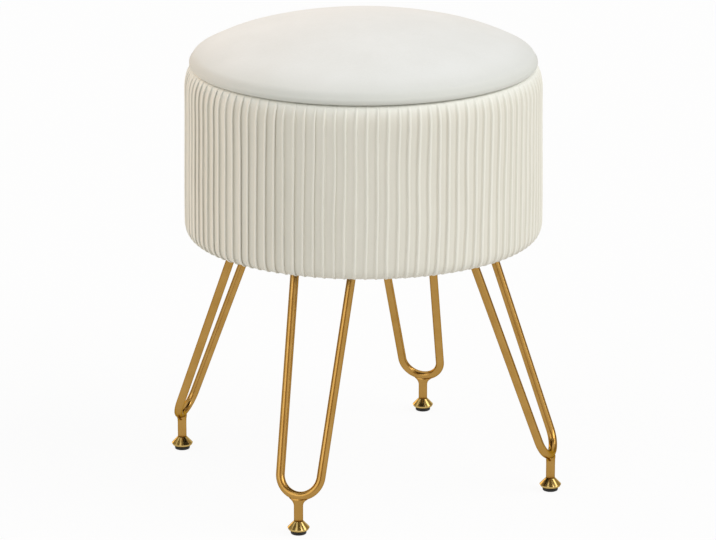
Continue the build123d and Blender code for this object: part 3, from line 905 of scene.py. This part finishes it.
def settleSeat(piece):
    bm = bmesh.new()
    bm.from_mesh(piece.data)
    free = [vert for vert in bm.verts if vert.co.z > lidLow.z + seat["held"]]
    for _ in range(seat["smoothing"]):
        bmesh.ops.smooth_vert(bm, verts=free, factor=0.5, use_axis_x=True, use_axis_y=True, use_axis_z=True)
    top = max(vert.co.z for vert in bm.verts)
    wide = max(polar(vert.co)[0] for vert in bm.verts)
    # painted shade: the pad's sides darker towards the seam
    flankShade = bm.verts.layers.float.new("flankShade")
    for vert in bm.verts:
        radius, angle = polar(vert.co)
        height = lidLow.z + (vert.co.z - lidLow.z) * (lidHigh.z - lidLow.z) / (top - lidLow.z)
        drawn = max(0.0, 1 - (height - lidLow.z) / seat["puckerHeight"])
        drawn *= max(0.0, min(1.0, (radius - seat["puckerFrom"]) / seat["puckerOver"]))
        gather = seat["pucker"] * drawn * (ripple(angle, seat["puckers"], 11.0) - 1)
        radius = radius * lidHigh.x / wide + gather
        vert.co = fromPolar(radius, angle, height)
        vert[flankShade] = smoothStep((lidHigh.z - height) / (lidHigh.z - lidLow.z), *seat["flankOver"])
    bm.to_mesh(piece.data)
    bm.free()
    piece.data.shade_smooth()


def makeSeat():
    bm = spinProfile(seatProfile(seat["start"]), seat["steps"])
    piece = addPiece("seatPad", bm, "lid", "velvet", ("seat_cover", "seat_foam"), "seat")
    swell(piece)
    settleSeat(piece)
    finer = piece.modifiers.new("finer", "SUBSURF")
    finer.levels = finer.render_levels = 1


# Legs and feet
leg = {
    "splay": 20.2,
    "rod": 4.2 * mm,
    "spread": 29.0 * mm,
    "bend": 20.5 * mm,
    "around": 36,
    "bendSteps": 32,
    "stub": 4.4 * mm,
    "weldDrop": 6.0 * mm,
    "weldRound": 7.5 * mm,
    "weldMost": 0.98,  # share of that rounding which the fillet climbs
    "beadSize": 2.0 * mm,
    # rings of a weld bead, as shares of its size: how far below the plate, how much wider than the rod
    "bead": [(1.0, -0.02), (0.72, 0.22), (0.4, 0.5), (0.15, 0.85), (0.0, 1.1)],
    "beadAround": 28,
    "ripple": 0.14,
    "ripples": 14,
    "stubAround": 40,
    "stubRows": 14,
    "stubEdge": 0.4 * mm,
    "stubBore": 8 * mm,  # depth of the threaded bore
    "stubCrown": 4.5 * mm,
    "stubUnder": 0.5 * mm,  # how far below the rod the crown begins
    "weldLump": 0.25 * mm,
    "lumpScale": 400,
}
foot = {
    "around": 72,
    "lip": 3.1 * mm,
    "topRadius": 4.7 * mm,
    "topEdge": (0.2 * mm, 0.4 * mm),  # in and down
    "baseRadius": 8.0 * mm,
    "lipRound": 0.8 * mm,
    # the lip's curve as shares of its rounding: how far in from the edge, how far above the lip's height
    "lipCurve": [(0.55, -1.1), (0.1, -0.35), (0.0, 0.1), (0.35, 0.55)],
    "padRadius": 7.5 * mm,
    "stud": 2.5 * mm,
    "studPlay": 0.1 * mm,
    "threadDepth": 0.42 * mm,
    "pitch": 0.8 * mm,
    # one turn of the thread: shares of its depth and of the pitch
    "thread": [(0.0, 0.0), (0.0, 0.15), (1.0, 0.45), (1.0, 0.6), (0.0, 1.0)],
    "ease": 0.3 * mm,
    "flare": (1.7 * mm, 1.3 * mm),  # out and up from the base towards the lip
    "studAround": 24,
    "padAround": 64,
    "padRound": 0.8 * mm,
    "padBulge": 0.12 * mm,
    "padBulgeAt": 0.6,  # share of the pad's height
    "padEase": 0.25 * mm,
    # groove in the pad's underside: share of its radius, depth
    "grip": [(0.0, 0.0), (0.42, 0.0), (0.46, 0.35 * mm), (0.54, 0.35 * mm), (0.58, 0.0)],
}


def legSetting(name):
    low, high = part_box("foot_cap_" + name)
    axis = Vector(((low.x + high.x) / 2, (low.y + high.y) / 2, 0))
    return axis, axis.normalized(), axis.normalized().cross(Vector((0, 0, -1)))


def hairpinMatrix(name):
    axis, outwards, along = legSetting(name)
    splay = math.radians(leg["splay"])
    up = Vector((0, 0, math.cos(splay))) - outwards * math.sin(splay)
    facing = outwards * math.cos(splay) + Vector((0, 0, math.sin(splay)))
    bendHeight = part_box("leg_rod_" + name)[0].z + leg["rod"]
    turned = Matrix((along, up, facing)).transposed().to_4x4()
    return Matrix.Translation(axis + Vector((0, 0, bendHeight))) @ turned, bendHeight


def makeRod(name):
    matrix, bendHeight = hairpinMatrix(name)
    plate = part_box("leg_plate_" + name)[0].z
    run = (plate - bendHeight) / math.cos(math.radians(leg["splay"]))
    spread, bend = leg["spread"], leg["bend"]
    reach = math.hypot(spread, run - bend)
    tangent = math.atan2(run - bend, spread) - math.acos(bend / reach)
    corner = Vector((bend * math.cos(tangent), bend * (1 + math.sin(tangent)), 0))
    slope = (Vector((spread, run, 0)) - corner).normalized()
    top = Vector((spread, run, 0)) + slope * leg["rod"] * 2
    bm = bmesh.new()
    place = Matrix.Translation(top) @ slope.to_track_quat("Z", "Y").to_matrix().to_4x4()
    bmesh.ops.create_circle(bm, segments=leg["around"], radius=leg["rod"], matrix=place)
    ring = bmesh.ops.extrude_edge_only(bm, edges=bm.edges[:])["geom"]
    ends = [item for item in ring if isinstance(item, bmesh.types.BMVert)]
    bmesh.ops.translate(bm, verts=ends, vec=corner - top)
    last = [item for item in ring if not isinstance(item, bmesh.types.BMFace)
            and (isinstance(item, bmesh.types.BMVert) or all(vert in ends for vert in item.verts))]
    last = bmesh.ops.spin(bm, geom=last, cent=(0, bend, 0), axis=(0, 0, -1), angle=math.pi + 2 * tangent,
                          steps=leg["bendSteps"])["geom_last"]
    rims = [item for item in last if isinstance(item, bmesh.types.BMEdge)]
    ring = bmesh.ops.extrude_edge_only(bm, edges=rims)["geom"]
    ends = [item for item in ring if isinstance(item, bmesh.types.BMVert)]
    farTop = Vector((-top.x, top.y, 0))
    farCorner = Vector((-corner.x, corner.y, 0))
    bmesh.ops.translate(bm, verts=ends, vec=farTop - farCorner)
    bmesh.ops.transform(bm, matrix=matrix, verts=bm.verts)
    cut = bmesh.ops.bisect_plane(bm, geom=bm.verts[:] + bm.edges[:] + bm.faces[:], plane_co=(0, 0, plate),
                                 plane_no=(0, 0, 1), clear_outer=True)["geom_cut"]
    bmesh.ops.edgeloop_fill(bm, edges=[item for item in cut if isinstance(item, bmesh.types.BMEdge)])
    bmesh.ops.recalc_face_normals(bm, faces=bm.faces)
    addPiece("hairpinRod_" + name, bm, "frame", "gold_metal", ("leg_rod_" + name,), sharp=50)
    makePlateWelds(name, matrix, [top, farTop], [corner, farCorner], plate)


def makePlateWelds(name, matrix, tops, corners, plate):
    bm = bmesh.new()
    size = leg["beadSize"]
    for top, corner in zip(tops, corners):
        high, low = matrix @ top, matrix @ corner
        lean = (high - low) / (high.z - low.z)
        joint = low + lean * (plate - low.z)
        rings = []
        for step, (drop, grow) in enumerate(leg["bead"]):
            centre = joint - lean * size * drop
            made = bmesh.ops.create_circle(bm, segments=leg["beadAround"], radius=leg["rod"] + size * grow,
                                           matrix=Matrix.Translation(centre))["verts"]
            rings.append(made)
            for vert in made:
                radius, angle = polar(vert.co - centre)
                between = 0 < step < len(leg["bead"]) - 1
                coin = leg["ripple"] * size * math.sin(leg["ripples"] * angle + step) * between
                vert.co = centre + fromPolar(radius + coin, angle, 0)
        loops = [[edge for edge in bm.edges if all(vert in ring for vert in edge.verts)] for ring in rings]
        for upper, lower in zip(loops, loops[1:]):
            bmesh.ops.bridge_loops(bm, edges=upper + lower)
    bmesh.ops.recalc_face_normals(bm, faces=bm.faces)
    addPiece("plateWelds_" + name, bm, "frame", "gold_metal", ())


def makeStub(name):
    axis, _, along = legSetting(name)
    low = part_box("leg_stub_" + name)[0].z
    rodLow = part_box("leg_rod_" + name)[0].z
    size, bore, rounding = leg["stub"], foot["stud"] + foot["studPlay"], leg["weldRound"]
    shoulder = rodLow - leg["stubUnder"]
    edge, rows = leg["stubEdge"], leg["stubRows"]
    wall = [(size, low + edge + (shoulder - low - edge) * (row / rows) ** 0.5) for row in range(rows)]
    profile = [(bore, low + leg["stubBore"]), (bore, low), (size - edge, low)] + wall
    profile += arcPoints((0, shoulder), (size, leg["stubCrown"]), 0, 90, 10)
    bm = spinProfile(profile, leg["stubAround"])
    for vert in bm.verts:
        lift = min(max(0.0, vert.co.z - rodLow + leg["weldDrop"]), leg["weldMost"] * rounding)
        spread = (rounding - math.sqrt(rounding ** 2 - lift ** 2)) / size
        lump = leg["weldLump"] * lift / rounding * noise.noise(vert.co * leg["lumpScale"])
        sideways = Vector((vert.co.x, vert.co.y, 0)).normalized()
        vert.co += along * vert.co.dot(along) * spread + sideways * lump
    bmesh.ops.translate(bm, verts=bm.verts, vec=axis)
    addPiece("legStub_" + name, bm, "frame", "gold_metal", ("leg_stub_" + name,), sharp=45)


def makeFoot(name):
    axis, _, _ = legSetting(name)
    capLow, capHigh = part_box("foot_cap_" + name)
    wide = (capHigh.x - capLow.x) / 2
    low, high = capLow.z, capHigh.z
    base, top, ease = foot["baseRadius"], foot["topRadius"], foot["ease"]
    lipTop, edge = low + foot["lip"], foot["lipRound"]
    flareOut, flareUp = foot["flare"]
    topIn, topDown = foot["topEdge"]
    profile = [(foot["stud"], low), (base - ease, low), (base, low + ease), (base + flareOut, low + flareUp)]
    profile += [(wide - edge * inwards, lipTop + edge * up) for inwards, up in foot["lipCurve"]]
    profile += [(top + ease, high - topDown), (top - topIn, high)]
    profile += [(foot["stud"] - foot["threadDepth"], high)]
    bm = spinProfile(profile, foot["around"])
    bmesh.ops.translate(bm, verts=bm.verts, vec=axis)
    addPiece("footCap_" + name, bm, "foot_screw_" + name, "polished_gold", ("foot_cap_" + name,), sharp=28)
    makePad(name, axis, low)
    makeStud(name, axis, high)


def makePad(name, axis, top):
    radius, edge, ease = foot["padRadius"], foot["padRound"], foot["padEase"]
    profile = [(radius * share, depth) for share, depth in foot["grip"]]
    profile += arcPoints((radius - edge, edge), (edge, edge), -90, 0, 5)
    profile += [(radius + foot["padBulge"], top * foot["padBulgeAt"]), (radius, top - ease)]
    profile += [(radius - ease, top), (0.0, top)]
    bm = spinProfile(profile, foot["padAround"])
    bmesh.ops.translate(bm, verts=bm.verts, vec=axis)
    addPiece("footPad_" + name, bm, "foot_pad_" + name, "pad_rubber", ("foot_pad_" + name,), sharp=50)


def makeStud(name, axis, low):
    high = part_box("foot_stud_" + name)[1].z
    pitch, deep, around = foot["pitch"], foot["threadDepth"], foot["studAround"]
    turns, root = int((high - low) / pitch) - 1, foot["stud"] - deep
    bm = bmesh.new()
    verts = [bm.verts.new((root + deep * out, 0, low + pitch * up)) for out, up in foot["thread"]]
    edges = [bm.edges.new(pair) for pair in zip(verts, verts[1:])]
    bmesh.ops.spin(bm, geom=verts + edges, cent=(0, 0, 0), axis=(0, 0, 1), angle=2 * math.pi * turns,
                   steps=around * turns, dvec=(0, 0, pitch / around))
    bmesh.ops.remove_doubles(bm, verts=bm.verts, dist=0.01 * mm)
    bmesh.ops.translate(bm, verts=bm.verts, vec=axis)
    bmesh.ops.recalc_face_normals(bm, faces=bm.faces)
    addPiece("footStud_" + name, bm, "foot_screw_" + name, "steel", ("foot_stud_" + name,), sharp=35)


# Frame nodes that keep their own shape
def dressNodes():
    slots = {row["node"]: row["material_slot"] for row in frame["record"]["subparts"]}
    for name, node in frame["nodes"].items():
        for place in node.material_slots:
            place.material = finishes[slots[name]]


# Studio
studio = {
    "floorRadius": 9.0,
    "floorSides": 96,
    "floorDrop": 0.1 * mm,  # keeps the floor just clear of the pads
    "floorColour": (0.76, 0.76, 0.755, 1.0),
    "floorWhite": 0.93,  # how far the camera sees the floor as plain white
    "ambient": 0.50,
    "ambientColour": (0.97, 0.985, 1.0, 1.0),
    # name, azimuth, elevation, strength, softness, colour
    "suns": [("keySun", 89.0, 40.0, 1.8, 50.0, (0.995, 0.995, 1.0)),
             ("frontSun", -35.0, 38.0, 0.68, 60.0, (1.0, 0.995, 0.97)),
             ("warmSun", -106.0, 5.0, 1.6, 50.0, (1.0, 0.64, 0.37))],
    # seen only in the metal's reflections: name, azimuth, elevation, width, height, colour
    "cards": [("frontCard", 10.0, 26.0, 2.0, 3.4, (0.45, 0.30, 0.10)),
              ("leftCard", -92.0, 18.0, 4.0, 3.2, (0.42, 0.37, 0.28)),
              ("rightCard", 128.0, 18.0, 4.4, 3.2, (0.42, 0.37, 0.28)),
              ("topCard", 30.0, 66.0, 2.2, 2.6, (0.16, 0.13, 0.07)),
              ("topCardLeft", -50.0, 52.0, 2.0, 1.6, (0.16, 0.13, 0.07)),
              ("topCardRight", 88.0, 54.0, 1.4, 1.6, (0.16, 0.13, 0.07))],
    "lightDistance": 4.0,
}


def towards(azimuth, elevation):
    a, e = math.radians(azimuth), math.radians(elevation)
    return Vector((math.sin(a) * math.cos(e), -math.cos(a) * math.cos(e), math.sin(e)))


def seenWhite(tree):
    path = tree.nodes.new("ShaderNodeLightPath")
    seen = mathOf(tree, "MAXIMUM", path.outputs["Is Camera Ray"], path.outputs["Is Glossy Ray"])
    return mathOf(tree, "MAXIMUM", seen, path.outputs["Is Transmission Ray"])


def makeWorld():
    world = bpy.data.worlds.new("studioWorld")
    scene.world = world
    world.use_nodes = True
    tree = world.node_tree
    soft = tree.nodes["Background"]
    soft.inputs["Color"].default_value = studio["ambientColour"]
    soft.inputs["Strength"].default_value = studio["ambient"]
    white = addNode(tree, "ShaderNodeBackground", Color=(1, 1, 1, 1), Strength=1.0)
    mix = tree.nodes.new("ShaderNodeMixShader")
    tree.links.new(seenWhite(tree), mix.inputs[0])
    tree.links.new(soft.outputs[0], mix.inputs[1])
    tree.links.new(white.outputs[0], mix.inputs[2])
    tree.links.new(mix.outputs[0], tree.nodes["World Output"].inputs["Surface"])


def addStage(name, bm, finish):
    mesh = bpy.data.meshes.new(name)
    bm.to_mesh(mesh)
    bm.free()
    mesh.materials.append(finish)
    item = bpy.data.objects.new(name, mesh)
    scene.collection.objects.link(item)
    return item


def makeFloor():
    finish = bpy.data.materials.new("paleFloor")
    finish.use_nodes = True
    tree = finish.node_tree
    tree.nodes.remove(tree.nodes["Principled BSDF"])
    matt = addNode(tree, "ShaderNodeBsdfDiffuse", Color=studio["floorColour"])
    white = addNode(tree, "ShaderNodeEmission", Color=(1, 1, 1, 1), Strength=1.0)
    clear = tree.nodes.new("ShaderNodeBsdfTransparent")
    seen = mathOf(tree, "MULTIPLY", seenWhite(tree), studio["floorWhite"])
    face = tree.nodes.new("ShaderNodeMixShader")
    both = tree.nodes.new("ShaderNodeMixShader")
    tree.links.new(seen, face.inputs[0])
    tree.links.new(matt.outputs[0], face.inputs[1])
    tree.links.new(white.outputs[0], face.inputs[2])
    tree.links.new(tree.nodes.new("ShaderNodeNewGeometry").outputs["Backfacing"], both.inputs[0])
    tree.links.new(face.outputs[0], both.inputs[1])
    tree.links.new(clear.outputs[0], both.inputs[2])
    tree.links.new(both.outputs[0], tree.nodes["Material Output"].inputs["Surface"])
    bm = bmesh.new()
    bmesh.ops.create_circle(bm, cap_ends=True, segments=studio["floorSides"], radius=studio["floorRadius"],
                            matrix=Matrix.Translation((0, 0, -studio["floorDrop"])))
    addStage("paleFloor", bm, finish)


def makeLights():
    for name, azimuth, elevation, strength, softness, colour in studio["suns"]:
        light = bpy.data.lights.new(name, "SUN")
        light.energy = strength
        light.angle = math.radians(softness)
        light.color = colour
        lamp = bpy.data.objects.new(name, light)
        lamp.location = towards(azimuth, elevation) * studio["lightDistance"]
        lamp.rotation_euler = towards(azimuth, elevation).to_track_quat("Z", "Y").to_euler()
        scene.collection.objects.link(lamp)
    for name, azimuth, elevation, width, height, colour in studio["cards"]:
        glow = {"Emission Color": (*colour, 1), "Emission Strength": 1.0}
        finish = newFinish(name, **{"Base Color": (0, 0, 0, 1), "Specular IOR Level": 0.0}, **glow)[0]
        facing = towards(azimuth, elevation)
        turn = facing.to_track_quat("Z", "Y").to_matrix().to_4x4()
        size = Matrix.Diagonal((width / 2, height / 2, 1, 1))
        bm = bmesh.new()
        bmesh.ops.create_grid(bm, x_segments=1, y_segments=1, size=1.0,
                              matrix=Matrix.Translation(facing * studio["lightDistance"]) @ turn @ size)
        card = addStage(name, bm, finish)
        card.visible_camera = card.visible_diffuse = card.visible_shadow = False


placeCamera()
makeSkirt()
makeHemBand()
makeMouthBand()
makeDrumLining()
makeFloorLining()
makeDiscCover()
makeDustCover()
print("bands, linings and covers made")
makeSeat()
for legName in legNames:
    makeRod(legName)
    makeStub(legName)
    makeFoot(legName)
print("legs and feet made:", len(legNames))
dressNodes()
makeWorld()
makeFloor()
makeLights()
print("studio set")
